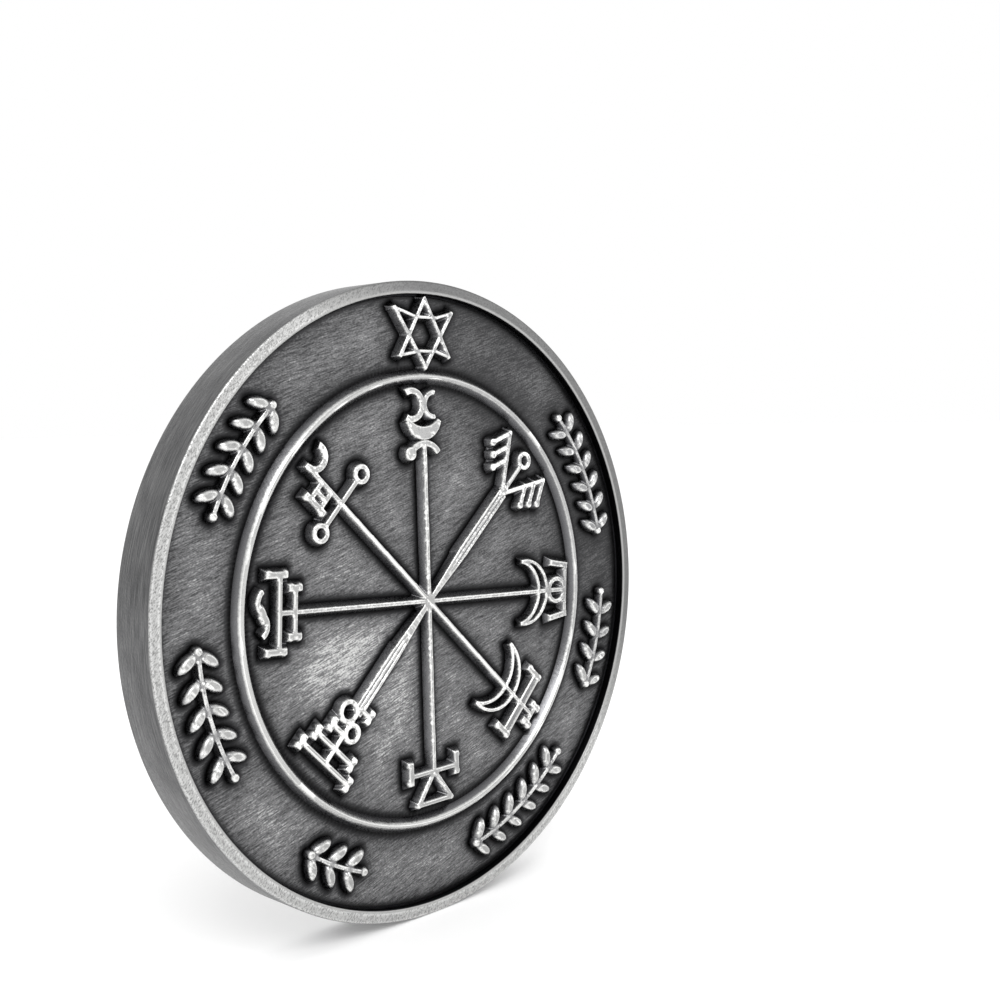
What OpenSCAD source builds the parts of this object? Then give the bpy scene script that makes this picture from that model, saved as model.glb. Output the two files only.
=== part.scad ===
// Struck relief coin: a milled blank with a raised rim on both faces, low relief on each.
// Upright about the origin: obverse towards -Y, reverse towards +Y, the star at +Z.
// Ray ornaments are drawn for a disc of draw_foot_r and scaled to the disc inside the ring;
// each one lies along +X, outwards, with +Y a quarter turn anticlockwise from its ray.

/* [Coin] */
// Overall diameter
coin_d = 40; // [30:1:60]
// Overall thickness, rim to rim
coin_t = 3.4; // [2.4:0.1:5]
// Chamfer round both edges of the wall
edge_bevel = 0.15; // [0.05:0.05:0.3]

/* [Obverse] */
// Flat width of the raised rim
rim_w = 0.8; // [0.5:0.1:1.2]
// Depth of the field below the rim
field_depth = 0.6; // [0.3:0.05:0.9]
// How far the relief stays below the rim
relief_clear = 0.05; // [0.02:0.01:0.15]
// Width of the outer band, rim to the crest of the ring
band_w = 5.1; // [4:0.1:6.5]
// Width of the ring at its foot
ring_foot_w = 1.2; // [0.8:0.1:1.6]
// Width of the ring at its crest
ring_crest_w = 0.4; // [0.2:0.05:0.7]

/* [Rays] */
// Foot width of the six narrow rays
ray_foot_w = 0.7; // [0.5:0.05:0.9]
// Crest width of the six narrow rays
ray_crest_w = 0.35; // [0.2:0.05:0.45]
// Foot width of the two broad rays
broad_foot_w = 1.0; // [0.7:0.05:1.3]
// Crest width of the two broad rays
broad_crest_w = 0.6; // [0.3:0.05:0.8]

/* [Lines] */
// Width of the drawn lines
line_w = 0.34; // [0.25:0.01:0.45]
// Width of the crescents' outlines
moon_line_w = 0.3; // [0.2:0.01:0.4]
// Length of a short serif
serif_l = 0.8; // [0.5:0.05:1]
// Length of a long serif
long_serif_l = 1.35; // [1:0.05:1.5]

/* [Star] */
// Height of the star, tip to tip, as a share of the clear band
star_share = 0.9; // [0.7:0.01:0.9]
// Width of the star's lines as a share of its height
star_line_share = 0.07; // [0.05:0.005:0.075]

/* [Sprigs] */
// Length of a leaf
leaf_l = 1.75; // [1.2:0.05:2.1]
// Width of a leaf
leaf_w = 0.7; // [0.4:0.05:0.9]
// Angle of a leaf from its stem
leaf_lean = 52; // [35:1:65]
// Spacing of the leaf pairs, in degrees round the band
leaf_pitch = 4.8; // [4:0.1:7]
// Width of the stem
stem_w = 0.3; // [0.2:0.05:0.5]
// Diameter of the bud at each end of a sprig
bud_d = 0.75; // [0.5:0.05:1.1]

/* [Reverse] */
// Flat width of the raised rim
back_rim_w = 0.55; // [0.4:0.05:1]
// Depth of the field below the rim
back_depth = 0.5; // [0.3:0.05:0.8]
// Number of teeth round the rim
tooth_count = 144; // [96:8:180]
// Width of a tooth
tooth_w = 0.32; // [0.2:0.01:0.4]
// Length of a tooth
tooth_l = 0.95; // [0.6:0.05:1.2]
// Width of the ring the teeth stand on
tooth_ring_w = 0.3; // [0.2:0.05:0.5]
// Distance from the toothed ring to the thin ring
back_band_w = 4.4; // [3.8:0.1:5.5]
// Width of the thin ring
thin_ring_w = 0.34; // [0.25:0.01:0.6]
// Height of a fleuron as a share of the band
fleuron_share = 0.76; // [0.5:0.01:0.85]
// Width of the sign's strokes
sign_w = 1.7; // [1.2:0.05:2]

/* [Hidden] */
$fn = 96;
coin_r = coin_d / 2;
wall_half = coin_t / 2;

// obverse
field_r = coin_r - rim_w;
field_y = wall_half - field_depth;
relief_h = field_depth - relief_clear;
ring_r = field_r - band_w;
ring_outer_foot_r = ring_r + ring_foot_w / 2;
ring_inner_foot_r = ring_r - ring_foot_w / 2;
draw_foot_r = 13.5;
ring_unit = ring_inner_foot_r / draw_foot_r;
clear_band_w = field_r - ring_outer_foot_r;
band_mid_r = ring_outer_foot_r + clear_band_w / 2;
draw_band_w = 4.5;
band_unit = clear_band_w / draw_band_w;
ray_far_r = 1.2 * ring_r;
cut_extra = 1;

// reverse
back_field_r = coin_r - back_rim_w;
back_y = wall_half - back_depth;
back_relief_h = back_depth - relief_clear;
tooth_ring_outer_r = back_field_r - tooth_l;
tooth_ring_inner_r = tooth_ring_outer_r - tooth_ring_w;
thin_ring_outer_r = tooth_ring_inner_r - back_band_w;
thin_ring_inner_r = thin_ring_outer_r - thin_ring_w;
fleuron_count = 7;
fleuron_mid_r = (tooth_ring_inner_r + thin_ring_outer_r) / 2;
fleuron_h = back_band_w * fleuron_share;
draw_fleuron_h = 3.3;
draw_sign_r = 13.6;
sign_unit = thin_ring_inner_r / draw_sign_r;

// direction of each ray, anticlockwise from +X; the figure was drawn by hand and isn't quite even
east_angle = -2.7;
north_east_angle = 43.6;
north_angle = 90.7;
north_west_angle = 136.3;
west_angle = 177.1;
south_west_angle = 225.3;
south_angle = 270.6;
south_east_angle = 316;
full_turn = 360;

// how far each ray runs before its ornament takes over, on the drawn disc
north_reach = 9.95;
north_east_reach = 9.3;
east_reach = 10.2;
south_east_reach = 9.4;
south_reach = 10.9;
south_west_reach = 8.25;
west_reach = 10.45;
north_west_reach = 9.5;

// ---- drawing helpers, flat ----

// Straight line from one point to another, square ended, carried on by half its width.
module line(x1, y1, x2, y2, w = line_w)
    translate([(x1 + x2) / 2, (y1 + y2) / 2])
        rotate(atan2(y2 - y1, x2 - x1))
            square([norm([x2 - x1, y2 - y1]) + w, w], center = true);

// Straight line from one point to another with round ends.
module round_line(x1, y1, x2, y2, w) {
    translate([(x1 + x2) / 2, (y1 + y2) / 2])
        rotate(atan2(y2 - y1, x2 - x1))
            square([norm([x2 - x1, y2 - y1]), w], center = true);
    translate([x1, y1]) circle(d = w);
    translate([x2, y2]) circle(d = w);
}

// Circular line round the origin.
module loop(r, w = line_w)
    difference() {
        circle(r = r + w / 2);
        circle(r = r - w / 2);
    }

// Part of a circular line round the origin, from one angle to another.
module arc(r, w, from, to)
    intersection() {
        loop(r, w);
        polygon(concat([[0, 0]], [for (i = [0:4]) 2 * r * [cos(from + (to - from) * i / 4),
                                                         sin(from + (to - from) * i / 4)]]));
    }

// Curved line between two tips on the Y axis, bulging towards +X.
module bow(half_w, bulge, w) {
    r = (half_w * half_w + bulge * bulge) / (2 * bulge);
    intersection() {
        translate([bulge - r, 0]) loop(r, w);
        translate([0, -2 * r]) square([2 * bulge, 4 * r]);
    }
}

// Solid crescent between two tips on the Y axis.
module crescent(half_w, outer, inner) {
    outer_r = (half_w * half_w + outer * outer) / (2 * outer);
    inner_r = (half_w * half_w + inner * inner) / (2 * inner);
    difference() {
        translate([outer - outer_r, 0]) circle(r = outer_r);
        translate([inner - inner_r, 0]) circle(r = inner_r);
    }
}

// Serif across the end of a bar.
module serif(x, y, length = serif_l, w = line_w)
    line(x - length / 2 + w / 2, y, x + length / 2 - w / 2, y, w);

// Leaf from the origin along +X.
module leaf(length, w) {
    r = (length * length + w * w) / (4 * w);
    intersection() {
        translate([length / 2, r - w / 2]) circle(r = r);
        translate([length / 2, w / 2 - r]) circle(r = r);
    }
}

// ---- faces of the coin ----

// Raises a flat drawing from the obverse field.
module on_obverse(h = relief_h)
    translate([0, -field_y, 0]) rotate([90, 0, 0]) linear_extrude(height = h) children();

// Raises a flat drawing from the reverse field.
module on_reverse(h = back_relief_h)
    translate([0, back_y, 0]) rotate([90, 0, 180]) linear_extrude(height = h) children();

// Turns a drawing along its ray and scales it to the disc inside the ring.
module along_ray(angle)
    rotate(angle) scale(ring_unit) children();

// ---- blank ----

// Disc with a shallow dish in both faces, turned about the Y axis.
module blank()
    color([0.60, 0.60, 0.60]) rotate([90, 0, 0]) rotate_extrude() polygon([
        [0, -back_y],
        [back_field_r, -back_y],
        [back_field_r, -wall_half],
        [coin_r - edge_bevel, -wall_half],
        [coin_r, edge_bevel - wall_half],
        [coin_r, wall_half - edge_bevel],
        [coin_r - edge_bevel, wall_half],
        [field_r, wall_half],
        [field_r, field_y],
        [0, field_y]
    ]);

// ---- obverse ----

module ring()
    color([0.80, 0.80, 0.80]) rotate([90, 0, 0]) rotate_extrude() polygon([
        [ring_inner_foot_r, field_y],
        [ring_outer_foot_r, field_y],
        [ring_r + ring_crest_w / 2, field_y + relief_h],
        [ring_r - ring_crest_w / 2, field_y + relief_h]
    ]);

// Triangle outline with one point on the Y axis at tip, its base across at base.
module triangle_line(tip, base, half_w, w) {
    line(0, tip, half_w, base, w);
    line(half_w, base, -half_w, base, w);
    line(-half_w, base, 0, tip, w);
}

// star on the drawn band
draw_star_h = 4;
up_base = -1.5;
up_half_w = 2.05;
down_base = 1.2;
down_half_w = 2.35;

// Two interlaced triangles, the hanging one a little wider.
module star()
    color([0.80, 0.80, 0.80]) on_obverse() translate([0, band_mid_r])
        scale(clear_band_w * star_share / draw_star_h) {
            triangle_line(draw_star_h / 2, up_base, up_half_w, draw_star_h * star_line_share);
            triangle_line(-draw_star_h / 2, down_base, down_half_w, draw_star_h * star_line_share);
        }

// Ray from the centre, kept half way to the rays before and after it and stopped by its ornament.
module ray(before, angle, after, reach, foot_w, crest_w)
    color([0.80, 0.80, 0.80]) difference() {
        intersection() {
            translate([0, -field_y, 0]) rotate([0, -angle, 0]) rotate([180, -90, 0])
                linear_extrude(height = reach * ring_unit) polygon([
                    [-foot_w / 2, 0], [foot_w / 2, 0],
                    [crest_w / 2, relief_h], [-crest_w / 2, relief_h]
                ]);
            on_obverse() polygon(concat([[0, 0]], [
                for (side = [(before + angle) / 2, (angle + after) / 2])
                    ray_far_r * [cos(side), sin(side)]
            ]));
        }
        translate([0, cut_extra, 0]) on_obverse(relief_h + 2 * cut_extra) along_ray(angle) children();
    }

module narrow_ray(before, angle, after, reach)
    ray(before, angle, after, reach, ray_foot_w, ray_crest_w) children();

module broad_ray(before, angle, after, reach)
    ray(before, angle, after, reach, broad_foot_w, broad_crest_w) children();

// Ornament of one ray.
module ornament(angle)
    color([0.80, 0.80, 0.80]) on_obverse() along_ray(angle) children();

// ---- ray ornaments, drawn flat ----

cap_r = 1.4;
cap_sweep = 56;

cap_knob_d = 0.8;

// Arc that closes the north ray, with a knob at its left end.
module cap_drawing()
    translate([north_reach - cap_r, 0]) {
        arc(cap_r, line_w, -cap_sweep, cap_sweep);
        rotate(cap_sweep) translate([cap_r, 0]) circle(d = cap_knob_d);
    }

cup_half_w = 1.3;
cup_tip = 11.35;
cup_outer = 1.05;
cup_inner = 0.5;

// Crescent with its tips outwards.
module cup_drawing()
    translate([cup_tip, 0]) mirror([1, 0]) crescent(cup_half_w, cup_outer, cup_inner);

moons_at = 12.35;
moons_half_w = 0.75;
left_moon_tip = 1.45;
right_moon_tip = 0.95;
moons_overlap = 0.1;

// Two crescents back to back.
module moons_drawing()
    translate([moons_at, 0]) {
        translate([0, left_moon_tip]) rotate(-90)
            bow(moons_half_w, left_moon_tip - moons_overlap, line_w);
        translate([0, -right_moon_tip]) rotate(90)
            bow(moons_half_w, right_moon_tip - moons_overlap, line_w);
    }

plume_angle = 34;
plume_l = 4.1;
barb_angle = 156;
barb_at = [2.3, 3.2, 4.1];
barb_l = [1.35, 1.5, 1.7];
plume_loop_at = 12.35;
plume_loop_r = 0.47;

// Stem with barbs on its outer side.
module plume()
    rotate(plume_angle) {
        line(0, 0, plume_l, 0);
        for (i = [0:2])
            translate([barb_at[i], 0]) rotate(barb_angle - plume_angle) line(0, 0, barb_l[i], 0);
    }

// Stem with a loop between two barbed plumes.
module plumes_drawing() {
    line(north_east_reach, 0, plume_loop_at - plume_loop_r, 0);
    translate([plume_loop_at, 0]) loop(plume_loop_r);
    translate([north_east_reach, 0]) {
        plume();
        mirror([0, 1]) plume();
    }
}

// Crescent drawn as two bows that share their tips, with its tips towards the centre.
module moon_outline(tip, half_w, outer, inner)
    translate([tip, 0]) {
        bow(half_w, outer, moon_line_w);
        bow(half_w, inner, moon_line_w);
    }

east_moon_tip = 8.4;
east_moon_half_w = 2.1;
east_moon_outer = 2.6;
east_loop_at = 12;
east_loop_r = 0.78;
east_bar_at = 12.85;
east_bar_half_l = 1.7;
east_serif_splay = 0.2;

// Outlined crescent, a loop on the ray and an end bar with serifs turned back.
module moon_e_drawing() {
    moon_outline(east_moon_tip, east_moon_half_w, east_moon_outer, east_reach - east_moon_tip);
    line(east_reach, 0, east_bar_at, 0);
    translate([east_loop_at, 0]) loop(east_loop_r);
    line(east_bar_at, -east_bar_half_l, east_bar_at, east_bar_half_l);
    for (side = [-1, 1])
        line(east_bar_at, side * east_bar_half_l,
             east_bar_at - long_serif_l, side * (east_bar_half_l + east_serif_splay));
}

south_east_moon_tip = 7.8;
south_east_moon_half_w = 2.4;
south_east_moon_outer = 2.55;
broad_bar_at = 11.45;
broad_bar_half_l = 2.0;
broad_bar_w = 0.65;
end_bar_at = 12.75;
end_bar_half_l = 0.65;
south_east_serif_back = 0.3;

// Outlined crescent, a broad bar and a small end bar.
module moon_se_drawing() {
    moon_outline(south_east_moon_tip, south_east_moon_half_w, south_east_moon_outer,
                 south_east_reach - south_east_moon_tip);
    line(south_east_reach, 0, end_bar_at, 0);
    line(broad_bar_at, -broad_bar_half_l, broad_bar_at, broad_bar_half_l, broad_bar_w);
    line(end_bar_at, -end_bar_half_l, end_bar_at, end_bar_half_l);
    for (side = [-1, 1]) {
        serif(broad_bar_at - south_east_serif_back, side * (broad_bar_half_l + line_w), long_serif_l);
        serif(end_bar_at, side * end_bar_half_l, serif_l);
    }
}

south_bar_half_l = 1.95;
south_serif_back = 0.15;
triangle_base = 12.85;
triangle_half_w = 1.4;

// Bar across the ray and a triangle hanging below it.
module triangle_s_drawing() {
    line(south_reach, -south_bar_half_l, south_reach, south_bar_half_l);
    for (side = [-1, 1]) {
        serif(south_reach - south_serif_back, side * south_bar_half_l, long_serif_l);
        line(south_reach, 0, triangle_base, side * triangle_half_w);
    }
    line(triangle_base, -triangle_half_w, triangle_base, triangle_half_w);
}

outer_bar_at = 12.2;
outer_bar_half_l = 2.3;
second_bar_at = 11.15;
second_bar_half_l = 1.75;
stub_at = 10.15;
stub_l = 1.1;
near_loop_at = 8.9;
near_loop_r = 0.6;
far_loop_at = 9.75;
far_loop_r = 0.5;
near_stub_l = 1.0;

// Two bars with serifs, a stub and two loops on either side of the ray.
module bars_sw_drawing() {
    line(south_west_reach, 0, outer_bar_at, 0);
    line(outer_bar_at, -outer_bar_half_l, outer_bar_at, outer_bar_half_l);
    line(second_bar_at, -second_bar_half_l, second_bar_at, second_bar_half_l);
    for (side = [-1, 1]) {
        serif(outer_bar_at, side * outer_bar_half_l);
        serif(second_bar_at, side * second_bar_half_l);
    }
    line(stub_at, 0, stub_at, -stub_l);
    serif(stub_at, -stub_l);
    translate([near_loop_at, -near_loop_r]) loop(near_loop_r);
    translate([far_loop_at, far_loop_r]) loop(far_loop_r);
    line(south_west_reach, 0, south_west_reach, near_stub_l);
    serif(south_west_reach, near_stub_l);
}

long_bar_at = 11.55;
long_bar_half_l = 2.2;
short_bar_half_l = 1.4;
long_serif_out = 0.2;

// Short and long bar across the ray, both with serifs.
module bars_w_drawing() {
    line(west_reach, 0, long_bar_at, 0);
    line(west_reach, -short_bar_half_l, west_reach, short_bar_half_l);
    line(long_bar_at, -long_bar_half_l, long_bar_at, long_bar_half_l);
    for (side = [-1, 1]) {
        serif(west_reach, side * short_bar_half_l);
        serif(long_bar_at + long_serif_out, side * long_bar_half_l, long_serif_l);
    }
}

flame_at = 12.72;
flame_half_l = 0.66;
flame_bulge = 0.34;
flame_w = 0.52;

// Wavy stroke beyond the long bar.
module flame_drawing()
    translate([flame_at, 0]) {
        translate([0, -flame_half_l]) bow(flame_half_l, flame_bulge, flame_w);
        translate([0, flame_half_l]) rotate(180) bow(flame_half_l, flame_bulge, flame_w);
    }

ring_bar_half_l = 2.3;
end_loop_r = 0.47;
rung_at = [10.5, 11.4];
rung_l = 1.3;
ladder_foot_l = 1.7;
hook_at = 12.8;
hook_r = 0.75;
hook_sweep = 200;

// Bar with a ring at each end, a small ladder on one side and a hook at the end of the ray.
module ladder_nw_drawing() {
    line(north_west_reach, 0, hook_at, 0);
    line(north_west_reach, end_loop_r - ring_bar_half_l, north_west_reach, ring_bar_half_l - end_loop_r);
    for (side = [-1, 1])
        translate([north_west_reach, side * ring_bar_half_l]) loop(end_loop_r);
    for (at = rung_at)
        line(at, 0, at, rung_l);
    line(rung_at[0], rung_l / 2, rung_at[1], rung_l / 2);
    serif((rung_at[0] + rung_at[1]) / 2, rung_l, ladder_foot_l);
    translate([hook_at, -hook_r]) arc(hook_r, line_w, 90, 90 + hook_sweep);
}

// ---- sprigs of the outer band ----

// Stem between two angles with pairs of leaves and a bud at each end.
module sprig(from, to) {
    pairs = floor((to - from) / leaf_pitch);
    step = (to - from) / pairs;
    color([0.80, 0.80, 0.80]) on_obverse() {
        arc(band_mid_r, stem_w * band_unit, from, to);
        for (i = [0:pairs - 1])
            rotate(from + step * i) translate([band_mid_r, 0])
                for (side = [-1, 1])
                    rotate(90 + side * leaf_lean) leaf(leaf_l * band_unit, leaf_w * band_unit);
        for (end = [from, to])
            rotate(end) translate([band_mid_r, 0]) circle(d = bud_d * band_unit);
    }
}

// ---- reverse ----

// Ring with teeth that reach the rim.
module tooth_ring()
    color([0.80, 0.80, 0.80]) on_reverse() intersection() {
        circle(r = back_field_r);
        union() {
            difference() {
                circle(r = tooth_ring_outer_r);
                circle(r = tooth_ring_inner_r);
            }
            for (i = [0:tooth_count - 1])
                rotate(i * full_turn / tooth_count)
                    translate([tooth_ring_outer_r - tooth_ring_w / 2, -tooth_w / 2])
                        square([tooth_l + tooth_ring_w, tooth_w]);
        }
    }

module thin_ring()
    color([0.80, 0.80, 0.80]) on_reverse() difference() {
        circle(r = thin_ring_outer_r);
        circle(r = thin_ring_inner_r);
    }

hook_centre = [-4.6, 4.6];
sign_hook_r = 4;
hook_start = [-8.55, 1.5];
tail_r = 8;
tail_sweep = 57;
tail_end = [-8.7, -5.3];
bar_knee = [-4, -3.9];
bar_end = [9.85, -3.25];
upright_x = 4.15;
upright_top = 11.1;
upright_bottom = -10.8;

// Large open sign of one hooked stroke, a crossbar and an upright.
module sign()
    color([0.75, 0.75, 0.75]) on_reverse() scale(sign_unit) {
        tail_centre = hook_centre - [tail_r - sign_hook_r, 0];
        tail_join = tail_centre + tail_r * [cos(tail_sweep), -sin(tail_sweep)];
        translate(hook_centre) arc(sign_hook_r, sign_w, -1, 181);
        round_line(hook_centre[0] - sign_hook_r, hook_centre[1], hook_start[0], hook_start[1], sign_w);
        translate(tail_centre) arc(tail_r, sign_w, -tail_sweep, 1);
        round_line(tail_join[0], tail_join[1], tail_end[0], tail_end[1], sign_w);
        line(tail_end[0] + sign_w / 2, tail_end[1] + sign_w / 4, bar_knee[0], bar_knee[1], sign_w);
        round_line(bar_knee[0], bar_knee[1], bar_end[0], bar_end[1], sign_w);
        round_line(upright_x, upright_bottom, upright_x, upright_top, sign_w);
    }

petal_l = 1.9;
petal_w = 0.85;
petal_lean = 62;
fleuron_stem_w = 0.42;
fleuron_foot_l = 1.5;
heart_d = 0.9;

// Three petals on a stem with a foot bar.
module fleuron(number)
    color([0.80, 0.80, 0.80]) on_reverse()
        rotate(-number * full_turn / fleuron_count) translate([0, fleuron_mid_r])
        scale(fleuron_h / draw_fleuron_h) {
            for (lean = [-petal_lean, 0, petal_lean])
                rotate(90 + lean) leaf(petal_l, petal_w);
            circle(d = heart_d);
            line(0, 0, 0, fleuron_stem_w / 2 - draw_fleuron_h / 2, fleuron_stem_w);
            line(-fleuron_foot_l / 2, fleuron_stem_w / 2 - draw_fleuron_h / 2,
                 fleuron_foot_l / 2, fleuron_stem_w / 2 - draw_fleuron_h / 2, fleuron_stem_w);
        }

// ---- the coin ----

blank();
ring();
star();
narrow_ray(north_east_angle, north_angle, north_west_angle, north_reach) cap_drawing();  // ray_n
broad_ray(east_angle, north_east_angle, north_angle, north_east_reach) plumes_drawing();  // ray_ne
narrow_ray(south_east_angle - full_turn, east_angle, north_east_angle, east_reach) moon_e_drawing();  // ray_e
narrow_ray(south_angle, south_east_angle, east_angle + full_turn, south_east_reach) moon_se_drawing();  // ray_se
narrow_ray(south_west_angle, south_angle, south_east_angle, south_reach) triangle_s_drawing();  // ray_s
broad_ray(west_angle, south_west_angle, south_angle, south_west_reach) bars_sw_drawing();  // ray_sw
narrow_ray(north_west_angle, west_angle, south_west_angle, west_reach) bars_w_drawing();  // ray_w
narrow_ray(north_angle, north_west_angle, west_angle, north_west_reach) ladder_nw_drawing();  // ray_nw
ornament(north_angle) cap_drawing();  // cap_n
ornament(north_angle) cup_drawing();  // cup_n
ornament(north_angle) moons_drawing();  // moons_n
ornament(north_east_angle) plumes_drawing();  // plumes_ne
ornament(east_angle) moon_e_drawing();  // moon_e
ornament(south_east_angle) moon_se_drawing();  // moon_se
ornament(south_angle) triangle_s_drawing();  // triangle_s
ornament(south_west_angle) bars_sw_drawing();  // bars_sw
ornament(west_angle) bars_w_drawing();  // bars_w
ornament(west_angle) flame_drawing();  // flame_w
ornament(north_west_angle) ladder_nw_drawing();  // ladder_nw
sprig(11, 42);  // sprig_1
sprig(133, 158);  // sprig_2
sprig(183, 209);  // sprig_3
sprig(235, 250);  // sprig_4
sprig(283, 315);  // sprig_5
sprig(333, 356);  // sprig_6
tooth_ring();
thin_ring();
sign();
fleuron(0);  // fleuron_1
fleuron(1);  // fleuron_2
fleuron(2);  // fleuron_3
fleuron(3);  // fleuron_4
fleuron(4);  // fleuron_5
fleuron(5);  // fleuron_6
fleuron(6);  // fleuron_7
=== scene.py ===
"""Antique silver relief coin, standing on its edge.

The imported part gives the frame. Each class below models one group of the coin's relief as it
is struck: drafted strokes laid on a flat sheet, fused, softened and stood against a face of the
coin. All modelling is done in millimetres and brought to metres when a piece is stood in place.
"""

import logging
import math
from dataclasses import dataclass, field
from enum import Enum
from typing import Callable, Iterable, Sequence

import bpy
import numpy as np
from mathutils import Matrix, Vector, kdtree

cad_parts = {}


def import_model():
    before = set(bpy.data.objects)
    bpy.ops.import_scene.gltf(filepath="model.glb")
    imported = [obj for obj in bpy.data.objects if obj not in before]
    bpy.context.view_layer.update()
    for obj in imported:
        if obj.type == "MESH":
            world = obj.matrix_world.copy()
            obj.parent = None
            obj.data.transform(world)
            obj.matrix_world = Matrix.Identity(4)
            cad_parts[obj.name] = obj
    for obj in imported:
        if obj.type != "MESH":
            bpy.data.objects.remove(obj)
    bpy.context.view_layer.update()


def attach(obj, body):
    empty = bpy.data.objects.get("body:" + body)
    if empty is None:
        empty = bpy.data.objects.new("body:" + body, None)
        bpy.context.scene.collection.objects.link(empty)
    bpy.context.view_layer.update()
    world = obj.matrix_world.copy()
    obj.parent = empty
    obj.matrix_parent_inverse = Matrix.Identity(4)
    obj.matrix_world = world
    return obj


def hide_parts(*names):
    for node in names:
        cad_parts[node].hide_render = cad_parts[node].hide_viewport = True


logging.basicConfig(level=logging.INFO, format="%(levelname)s %(message)s")
LOG = logging.getLogger("coin")

MM = 0.001
BODY = "root"
Point = tuple[float, float]
Parts = list[bpy.types.Object]
Socket = bpy.types.NodeSocket

# Attribute of the fields that says how far the plate is polished back, from 0 to 1, with
# painted highlight and painted shade patches laid in.
POLISH_AND_PAINTED_LIGHT = "polish"
# Direction of the side painted darker as shade, on the obverse's relief and on the rim.
PAINTED_SHADE_SIDE = (0.75, 0.0, 0.66)
# Range that most of a noise's values fall in.
MIDDLE = (0.3, 0.7)
# Range of a share.
UNIT = (0.0, 1.0)
# A foot's vertices lie within this of the field, in millimetres.
FOOT_REACH = 0.1
# How much taller than its stroke a leaf's dome is before its top is cut flat.
LEAF_CROWN = 1.16
# Length that tells one level from the next, in millimetres.
HAIR = 1e-4


class Face(Enum):
    """Face of the coin that a relief stands on."""

    OBVERSE = "obverse"
    REVERSE = "reverse"


class Ray(Enum):
    """Rays of the obverse: degrees anticlockwise from +X, and reach in millimetres."""

    N = (90.7, 9.95)
    NE = (43.6, 9.3)
    E = (-2.7, 10.2)
    SE = (-44.0, 9.4)
    S = (-89.4, 10.9)
    SW = (-134.7, 8.25)
    W = (177.1, 10.45)
    NW = (136.3, 9.5)


class Slot(Enum):
    """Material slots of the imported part."""

    METAL = "struck_metal"
    RELIEF = "polished_relief"
    GRAINED = "grained_relief"


# ---------------------------------------------------------------------------------------------
# Nodes and finishes
# ---------------------------------------------------------------------------------------------


def linear(code: str) -> tuple[float, float, float, float]:
    """Turns an sRGB hex colour into a linear one.

    Args:
        code: Six hex digits, with or without a leading hash.

    Returns:
        Linear red, green, blue and an alpha of one.
    """
    code = code.lstrip("#")
    values = (int(code[i : i + 2], 16) / 255 for i in (0, 2, 4))
    red, green, blue = (v / 12.92 if v <= 0.04045 else ((v + 0.055) / 1.055) ** 2.4 for v in values)
    return red, green, blue, 1.0


def add_node(
    tree: bpy.types.NodeTree,
    kind: str,
    settings: dict | None = None,
    links: dict | None = None,
    out: int | str = 0,
) -> Socket | None:
    """Adds a node with its settings and links.

    Args:
        tree: Tree that gets the node.
        kind: Node type, without the ShaderNode that all begin with.
        settings: Properties by name, input values by socket name or number, and stops, a
            ramp's positions from 0 to 1, each with a hex colour.
        links: Output sockets to join, by input name or number.
        out: Name or number of the output that is given back.

    Returns:
        The output, or None where the node has none.
    """
    node = tree.nodes.new("ShaderNode" + kind)
    for name, value in (settings or {}).items():
        if name == "stops":
            elements = node.color_ramp.elements
            while len(elements) < len(value):
                elements.new(0.5)
            for element, (position, code) in zip(elements, value):
                element.position = position
                element.color = linear(code)
        elif isinstance(name, str) and hasattr(node, name):
            setattr(node, name, value)
        else:
            node.inputs[name].default_value = value
    for name, source in (links or {}).items():
        tree.links.new(source, node.inputs[name])
    return node.outputs[out] if node.outputs else None


def new_tree(name: str) -> tuple[bpy.types.Material, bpy.types.NodeTree, Socket]:
    """Makes an empty material and returns it, its tree and the place on the coin in millimetres."""
    material = bpy.data.materials.new(name)
    material.use_nodes = True
    tree = material.node_tree
    tree.nodes.clear()
    place = add_node(tree, "TexCoord", out="Object")
    settings = {"operation": "SCALE", "Scale": 1 / MM}
    return material, tree, add_node(tree, "VectorMath", settings, {0: place})


def off_plane(tree: bpy.types.NodeTree, place: Socket) -> tuple[Socket, Socket]:
    """Gives how far a place lies behind the coin's middle plane, and how far off it either way."""
    behind = add_node(tree, "SeparateXYZ", links={0: place}, out="Y")
    return behind, add_node(tree, "Math", {"operation": "ABSOLUTE"}, {0: behind})


def pattern(
    tree: bpy.types.NodeTree,
    place: Socket,
    grain: float,
    detail: float = 3.0,
    stretch: tuple[float, float, float] = (1.0, 1.0, 1.0),
    turn: float = 0.0,
) -> Socket:
    """Lays a noise whose grain has a real size over the coin.

    Args:
        tree: Tree that gets the nodes.
        place: Place in millimetres.
        grain: Size of one grain in millimetres.
        detail: Octaves of finer grain.
        stretch: How much longer the grain is along each axis once turned.
        turn: Turn about the coin's axis, in degrees.

    Returns:
        The noise's value.
    """
    rotation = {"Rotation": (0.0, math.radians(turn), 0.0)}
    lying = add_node(tree, "Mapping", rotation, {"Vector": place})
    scale = {"Scale": tuple(1 / (grain * s) for s in stretch)}
    drawn = add_node(tree, "Mapping", scale, {"Vector": lying})
    settings = {"Scale": 1.0, "Detail": detail, "Roughness": 0.55}
    return add_node(tree, "TexNoise", settings, {"Vector": drawn})


def worn_and_painted_light(
    tree: bpy.types.NodeTree,
    value: Socket,
    layers: Sequence[tuple[Socket, tuple[float, float], tuple[float, float]]],
) -> Socket:
    """Dims and lifts a value by one pattern after another, for wear and for painted light.

    Args:
        tree: Tree that gets the nodes.
        value: Value to change, held between 0 and 1.
        layers: Patterns, each with the range read from it and the factors at that range's ends.

    Returns:
        The changed value.
    """
    for source, span, factors in layers:
        factor = add_node(tree, "MapRange", dict(enumerate((*span, *factors), 1)), {0: source})
        times = {"operation": "MULTIPLY", "use_clamp": True}
        value = add_node(tree, "Math", times, {0: value, 1: factor})
    return value


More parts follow.
